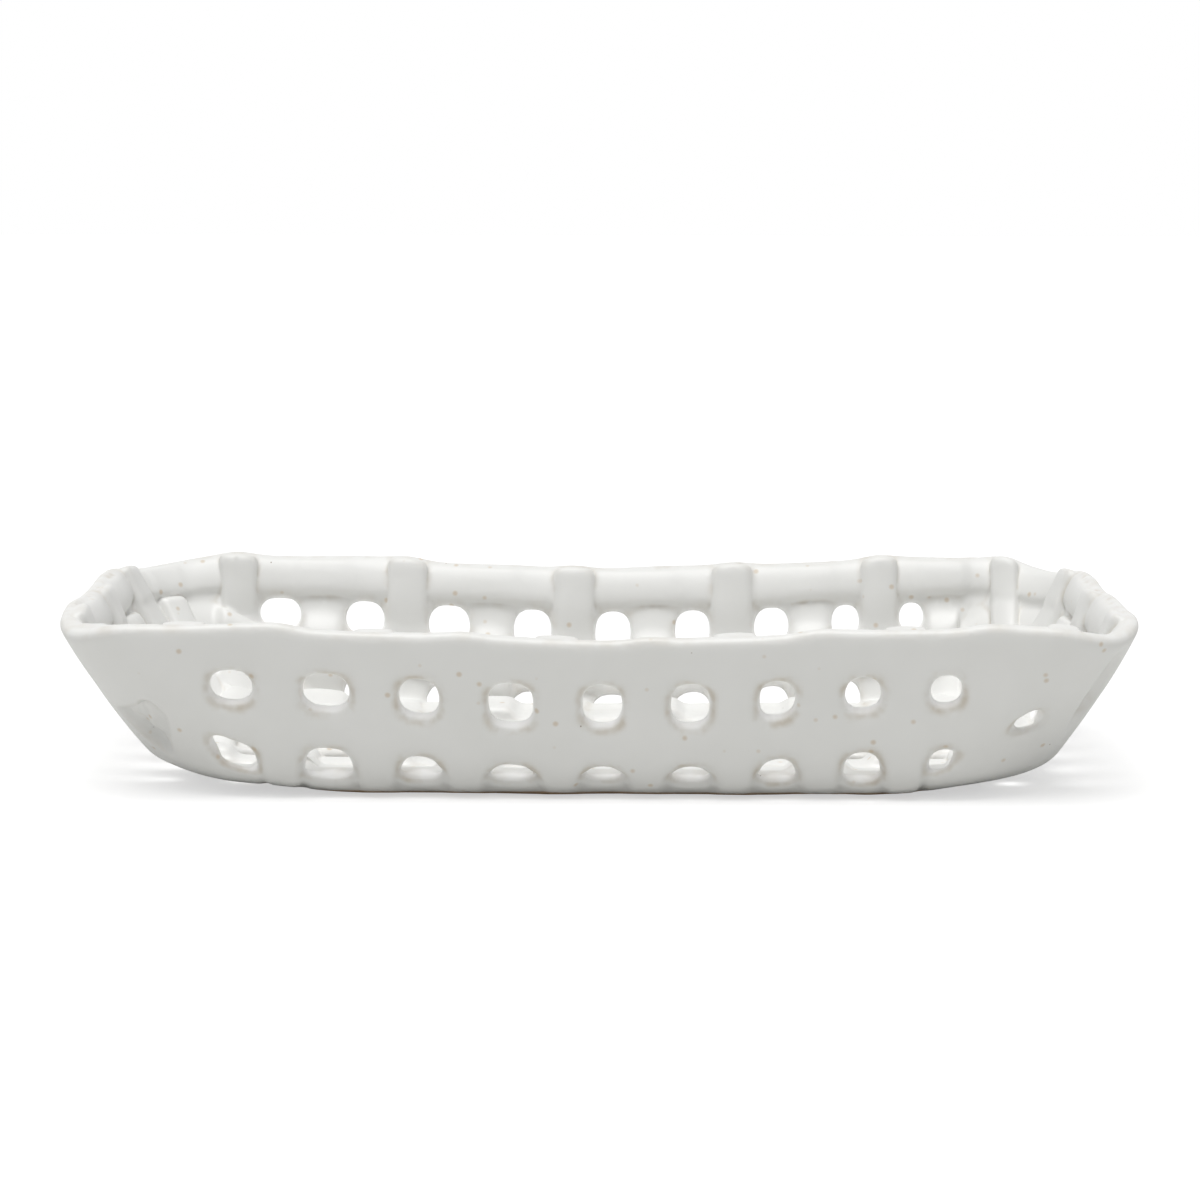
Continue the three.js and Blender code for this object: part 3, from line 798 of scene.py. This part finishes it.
# Tan for real wear on edges and seams, also used as painted shade in a ring round each hole.
GLAZE_WEAR_AND_SHADE = "#BBAE98"
BARE_CLAY = "#BE9F80"
CLOUD_SIZE = 22.22
PATCH_SIZE = 7.143
RIPPLE_SIZE = 6.25
RIPPLE_HEIGHT = 0.6
RIPPLE_STRENGTH = 0.12
BROKEN_BEND = (0.22, 0.7)
BROKEN_MOST = 0.15
PATCH_RANGE = (0.42, 0.68)
PATCH_WORN = (0.05, 0.7)
FOOT_LINE = (2.2, 2.8)
FOOT_RAGGED = 1.6
GLAZE_ROUGH, CLAY_ROUGH = 0.4, 0.85
SPECK_CORE = 0.4
SPECKS = [
    {"spacing": 5.882, "radius": 0.2, "kept_above": 0.7, "strength": 0.45, "colour": "#C0A478"},
    {"spacing": 4.348, "radius": 0.08, "kept_above": 0.95, "strength": 0.8, "colour": "#7A6248"},
]


def hex_colour(code):
    channels = [int(code[k:k + 2], 16) / 255 for k in (1, 3, 5)]
    linear = [c / 12.92 if c <= 0.04045 else ((c + 0.055) / 1.055) ** 2.4 for c in channels]
    return (*linear, 1.0)


def per_metre(size):
    """Pattern scale for a pattern of the given size in mm."""
    return 1 / (size * MM)


def add_node(tree, kind, settings=None, inputs=None):
    node = tree.nodes.new(kind)
    for key, value in (settings or {}).items():
        setattr(node, key, value)
    for key, value in (inputs or {}).items():
        if isinstance(value, bpy.types.NodeSocket):
            tree.links.new(value, node.inputs[key])
        else:
            node.inputs[key].default_value = value
    return node


glaze = bpy.data.materials.new("white_satin_stoneware_glaze")
glaze.use_nodes = True
tree = glaze.node_tree
shader = tree.nodes["Principled BSDF"]
place = add_node(tree, "ShaderNodeTexCoord").outputs["Object"]
cloud = add_node(tree, "ShaderNodeTexNoise", inputs={
    "Vector": place, "Scale": per_metre(CLOUD_SIZE), "Detail": 3.0})
tone = add_node(tree, "ShaderNodeMix", {"data_type": "RGBA"}, {
    "Factor": cloud.outputs["Fac"], "A": hex_colour(GLAZE_THIN), "B": hex_colour(GLAZE_FULL)})
# Painted highlight: the lips of holes are whitened.
painted_lip_highlight = add_node(tree, "ShaderNodeAttribute", {"attribute_name": "painted_lip_highlight"})
tone = add_node(tree, "ShaderNodeMix", {"data_type": "RGBA"}, {
    "Factor": painted_lip_highlight.outputs["Fac"], "A": tone.outputs["Result"], "B": hex_colour(PAINTED_LIP_HIGHLIGHT)})
curve = add_node(tree, "ShaderNodeAttribute", {"attribute_name": "bend"})
broken = add_node(tree, "ShaderNodeMapRange", inputs={
    "Value": curve.outputs["Fac"], "From Min": BROKEN_BEND[0], "From Max": BROKEN_BEND[1],
    "To Min": 0.0, "To Max": BROKEN_MOST})
body = add_node(tree, "ShaderNodeMix", {"data_type": "RGBA"}, {
    "Factor": broken.outputs["Result"], "A": tone.outputs["Result"], "B": hex_colour(GLAZE_BROKEN)})
# Real wear on edges and seams, and painted shade round the holes, broken into patches.
wear_and_shade = add_node(tree, "ShaderNodeAttribute", {"attribute_name": "wear_and_shade"})
patchy = add_node(tree, "ShaderNodeTexNoise", inputs={
    "Vector": place, "Scale": per_metre(PATCH_SIZE), "Detail": 2.0})
patchy = add_node(tree, "ShaderNodeMapRange", inputs={
    "Value": patchy.outputs["Fac"], "From Min": PATCH_RANGE[0], "From Max": PATCH_RANGE[1],
    "To Min": PATCH_WORN[0], "To Max": PATCH_WORN[1]})
wear_and_shade_patches = add_node(tree, "ShaderNodeMath", {"operation": "MULTIPLY"}, {
    0: wear_and_shade.outputs["Fac"], 1: patchy.outputs["Result"]})
flecked = add_node(tree, "ShaderNodeMix", {"data_type": "RGBA"}, {
    "Factor": wear_and_shade_patches.outputs[0], "A": body.outputs["Result"], "B": hex_colour(GLAZE_WEAR_AND_SHADE)})
for speck in SPECKS:
    cell = add_node(tree, "ShaderNodeTexVoronoi", inputs={
        "Vector": place, "Scale": per_metre(speck["spacing"]), "Randomness": 1.0})
    spot = add_node(tree, "ShaderNodeMapRange", inputs={
        "Value": cell.outputs["Distance"],
        "From Min": speck["radius"] * SPECK_CORE, "From Max": speck["radius"],
        "To Min": speck["strength"], "To Max": 0.0})
    chance = add_node(tree, "ShaderNodeSeparateColor", inputs={"Color": cell.outputs["Color"]})
    chosen = add_node(tree, "ShaderNodeMath", {"operation": "GREATER_THAN"}, {
        0: chance.outputs["Red"], 1: speck["kept_above"]})
    fleck = add_node(tree, "ShaderNodeMath", {"operation": "MULTIPLY"}, {
        0: spot.outputs["Result"], 1: chosen.outputs[0]})
    flecked = add_node(tree, "ShaderNodeMix", {"data_type": "RGBA"}, {
        "Factor": fleck.outputs[0], "A": flecked.outputs["Result"], "B": hex_colour(speck["colour"])})
height = add_node(tree, "ShaderNodeSeparateXYZ", inputs={"Vector": place})
ragged = add_node(tree, "ShaderNodeMath", {"operation": "MULTIPLY_ADD"}, {
    0: cloud.outputs["Fac"], 1: FOOT_RAGGED * MM, 2: height.outputs["Z"]})
foot = add_node(tree, "ShaderNodeMapRange", inputs={
    "Value": ragged.outputs[0], "From Min": FOOT_LINE[0] * MM, "From Max": FOOT_LINE[1] * MM,
    "To Min": 1.0, "To Max": 0.0})
colour = add_node(tree, "ShaderNodeMix", {"data_type": "RGBA"}, {
    "Factor": foot.outputs["Result"], "A": flecked.outputs["Result"], "B": hex_colour(BARE_CLAY)})
tree.links.new(colour.outputs["Result"], shader.inputs["Base Color"])
rough = add_node(tree, "ShaderNodeMapRange", inputs={
    "Value": foot.outputs["Result"], "To Min": GLAZE_ROUGH, "To Max": CLAY_ROUGH})
tree.links.new(rough.outputs["Result"], shader.inputs["Roughness"])
ripple = add_node(tree, "ShaderNodeTexNoise", inputs={
    "Vector": place, "Scale": per_metre(RIPPLE_SIZE), "Detail": 2.0})
bump = add_node(tree, "ShaderNodeBump", inputs={
    "Height": ripple.outputs["Fac"], "Strength": RIPPLE_STRENGTH, "Distance": RIPPLE_HEIGHT * MM})
tree.links.new(bump.outputs["Normal"], shader.inputs["Normal"])

for number, strip in enumerate(strips):
    piece = fired_piece(number, strip)
    piece.data.materials.append(glaze)
    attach(piece, "root")
    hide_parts(strip["name"])

# Studio.
# A plain white paper floor, a pale room, and a broad soft lamp above, a little to the front and left.
# The floor and the room look white to the camera without putting more light on the dish.
FLOOR_HALF = 3
PAPER, PAPER_SEEN = "#E2E2E0", "#C2C2C2"
PAPER_GLOW = 0.55
PAPER_ROUGH = 0.9
ROOM_LIGHT = 0.34
LAMP_ANGLE = math.radians(50)
LAMP_ENERGY = 2.3
LAMP_TILT = (math.radians(15), math.radians(-6), 0)
floor_mesh = bpy.data.meshes.new("floor")
floor_corners = [(FLOOR_HALF * sx, FLOOR_HALF * sy, 0) for sx, sy in ((-1, -1), (1, -1), (1, 1), (-1, 1))]
floor_mesh.from_pydata(floor_corners, [], [(0, 1, 2, 3)])
floor = bpy.data.objects.new("floor", floor_mesh)
bpy.context.collection.objects.link(floor)
paper = bpy.data.materials.new("white_paper_floor")
paper.use_nodes = True
tree = paper.node_tree
shader = tree.nodes["Principled BSDF"]
path = add_node(tree, "ShaderNodeLightPath")
sheet = add_node(tree, "ShaderNodeMix", {"data_type": "RGBA"}, {
    "Factor": path.outputs["Is Camera Ray"], "A": hex_colour(PAPER), "B": hex_colour(PAPER_SEEN)})
glow = add_node(tree, "ShaderNodeMath", {"operation": "MULTIPLY"}, {
    0: path.outputs["Is Camera Ray"], 1: PAPER_GLOW})
tree.links.new(sheet.outputs["Result"], shader.inputs["Base Color"])
tree.links.new(glow.outputs[0], shader.inputs["Emission Strength"])
shader.inputs["Emission Color"].default_value = hex_colour("#FFFFFF")
shader.inputs["Roughness"].default_value = PAPER_ROUGH
floor.data.materials.append(paper)

world = bpy.data.worlds.new("white_room")
bpy.context.scene.world = world
world.use_nodes = True
tree = world.node_tree
path = add_node(tree, "ShaderNodeLightPath")
seen = add_node(tree, "ShaderNodeMath", {"operation": "MAXIMUM"}, {
    0: path.outputs["Is Camera Ray"], 1: path.outputs["Is Glossy Ray"]})
seen = add_node(tree, "ShaderNodeMath", {"operation": "MAXIMUM"}, {
    0: seen.outputs[0], 1: path.outputs["Is Transmission Ray"]})
strength = add_node(tree, "ShaderNodeMapRange", inputs={
    "Value": seen.outputs[0], "To Min": ROOM_LIGHT, "To Max": 1.0})
sky = tree.nodes["Background"]
sky.inputs["Color"].default_value = hex_colour("#FFFFFF")
tree.links.new(strength.outputs["Result"], sky.inputs["Strength"])

lamp_data = bpy.data.lights.new("overhead_softbox", "SUN")
lamp_data.angle = LAMP_ANGLE
lamp_data.energy = LAMP_ENERGY
lamp = bpy.data.objects.new("overhead_softbox", lamp_data)
lamp.rotation_euler = LAMP_TILT
bpy.context.collection.objects.link(lamp)

# Camera.
# A long lens a little above the rim, looking nearly straight at the long side. Its focal length is given
# in pixels of the square picture and turned into millimetres of the sensor.
CAMERA_DISTANCE = 1.4896
ELEVATION = math.radians(7.92)
YAW = math.radians(-1.573)
TARGET = (-0.0006, 0.0, 0.0542)
NEAREST_SEEN = 0.05
SENSOR_WIDTH = 36.0
FOCAL_PIXELS = 4516.6
PICTURE_PIXELS = 1200
camera_data = bpy.data.cameras.new("camera")
camera_data.sensor_width = SENSOR_WIDTH
camera_data.lens = SENSOR_WIDTH * FOCAL_PIXELS / PICTURE_PIXELS
camera_data.clip_start = NEAREST_SEEN
camera = bpy.data.objects.new("camera", camera_data)
level_aim = math.cos(ELEVATION)
aim = (math.sin(YAW) * level_aim, math.cos(YAW) * level_aim, -math.sin(ELEVATION))
camera.location = [t - CAMERA_DISTANCE * a for t, a in zip(TARGET, aim)]
camera.rotation_euler = (math.pi / 2 - ELEVATION, 0, -YAW)
bpy.context.collection.objects.link(camera)
bpy.context.scene.camera = camera
bpy.context.scene.view_settings.view_transform = "Standard"
